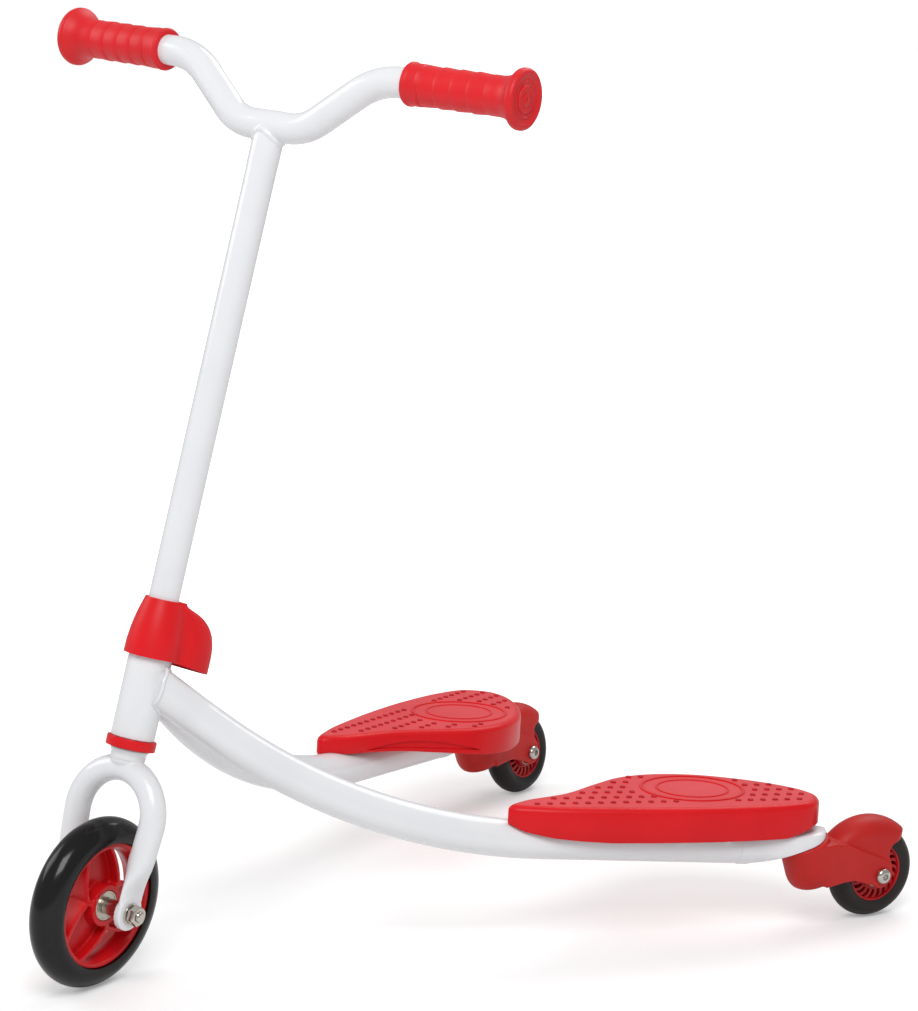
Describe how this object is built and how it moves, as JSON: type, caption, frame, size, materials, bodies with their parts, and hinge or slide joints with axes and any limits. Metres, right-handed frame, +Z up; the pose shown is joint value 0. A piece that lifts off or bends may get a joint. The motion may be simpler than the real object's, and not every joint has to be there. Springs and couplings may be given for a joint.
{
  "type": "three wheel kids scooter",
  "caption": "Carving scooter with a steered front wheel, two splayed legs with foot decks, and a slanted swivel caster under the end of each leg.",
  "frame": {"origin": "on the ground under the middle of the box", "axes": "+Z up, -X towards the front wheel, +Y towards the rider's right"},
  "size_m": [0.6538, 0.4812, 0.6895],
  "materials": {
    "white_paint": "gloss",
    "red_plastic": "satin",
    "grip_rubber": "satin",
    "deck_plastic": "satin",
    "caster_plastic": "matte",
    "hub_plastic": "gloss",
    "tyre": "satin",
    "zinc": "satin",
    "chrome": "polished",
    "bearing_steel": "satin"
  },
  "bodies": {
    "frame": {"head_tube": "white_paint", "lower_headset_cup": "red_plastic", "upper_headset_cup": "bearing_steel", "lower_headset_bearing": "bearing_steel", "upper_headset_bearing": "bearing_steel", "left_leg": "white_paint", "left_caster_mount": "white_paint", "left_deck_bracket": "white_paint", "left_deck": "deck_plastic", "left_inner_deck_screw": "zinc", "left_outer_deck_screw": "zinc", "left_swivel_bolt": "zinc", "left_swivel_nut": "zinc", "right_leg": "white_paint", "right_caster_mount": "white_paint", "right_deck_bracket": "white_paint", "right_deck": "deck_plastic", "right_inner_deck_screw": "zinc", "right_outer_deck_screw": "zinc", "right_swivel_bolt": "zinc", "right_swivel_nut": "zinc"},
    "steering": {"fork": "white_paint", "stem": "white_paint", "crossbar": "white_paint", "left_grip": "grip_rubber", "right_grip": "grip_rubber", "clamp_collar": "bearing_steel", "clamp_bolt": "zinc", "head_cover": "red_plastic", "front_axle_bolt": "zinc", "front_axle_nut": "zinc", "left_axle_washer": "zinc", "right_axle_washer": "zinc", "left_axle_spacer": "zinc", "right_axle_spacer": "zinc"},
    "front_wheel": {"front_tyre": "tyre", "front_hub": "hub_plastic", "front_left_bearing": "bearing_steel", "front_right_bearing": "bearing_steel", "front_inner_spacer": "zinc"},
    "left_caster": {"left_yoke": "caster_plastic", "left_lower_swivel_bearing": "bearing_steel", "left_upper_swivel_bearing": "bearing_steel", "left_axle_bolt": "chrome", "left_axle_nut": "chrome"},
    "right_caster": {"right_yoke": "caster_plastic", "right_lower_swivel_bearing": "bearing_steel", "right_upper_swivel_bearing": "bearing_steel", "right_axle_bolt": "chrome", "right_axle_nut": "chrome"},
    "left_caster_wheel": {"left_caster_tyre": "tyre", "left_caster_hub": "hub_plastic", "left_outer_wheel_bearing": "bearing_steel", "left_inner_wheel_bearing": "bearing_steel"},
    "right_caster_wheel": {"right_caster_tyre": "tyre", "right_caster_hub": "hub_plastic", "right_outer_wheel_bearing": "bearing_steel", "right_inner_wheel_bearing": "bearing_steel"}
  },
  "joints": [
    {"name": "steer", "type": "hinge", "parent": "frame", "child": "steering", "pos_m": [-0.26716, -0.00282, 0.06312], "axis": [0.2782, 0, 0.9605], "continuous": true},
    {"name": "front_wheel_spin", "type": "hinge", "parent": "steering", "child": "front_wheel", "pos_m": [-0.26716, -0.00282, 0.06312], "axis": [-0.3088, 0.9469, 0.0894], "continuous": true},
    {"name": "left_swivel", "type": "hinge", "parent": "frame", "child": "left_caster", "pos_m": [0.23874, -0.21092, 0.03702], "axis": [-0.309, 0, 0.9511], "continuous": true},
    {"name": "left_caster_wheel_spin", "type": "hinge", "parent": "left_caster", "child": "left_caster_wheel", "pos_m": [0.29056, -0.21872, 0.03683], "axis": [0.1488, 0.9877, 0.0483], "continuous": true},
    {"name": "right_swivel", "type": "hinge", "parent": "frame", "child": "right_caster", "pos_m": [0.23874, 0.20528, 0.03702], "axis": [-0.309, 0, 0.9511], "continuous": true},
    {"name": "right_caster_wheel_spin", "type": "hinge", "parent": "right_caster", "child": "right_caster_wheel", "pos_m": [0.28937, 0.21876, 0.03645], "axis": [-0.2574, 0.9627, -0.0836], "continuous": true}
  ]
}
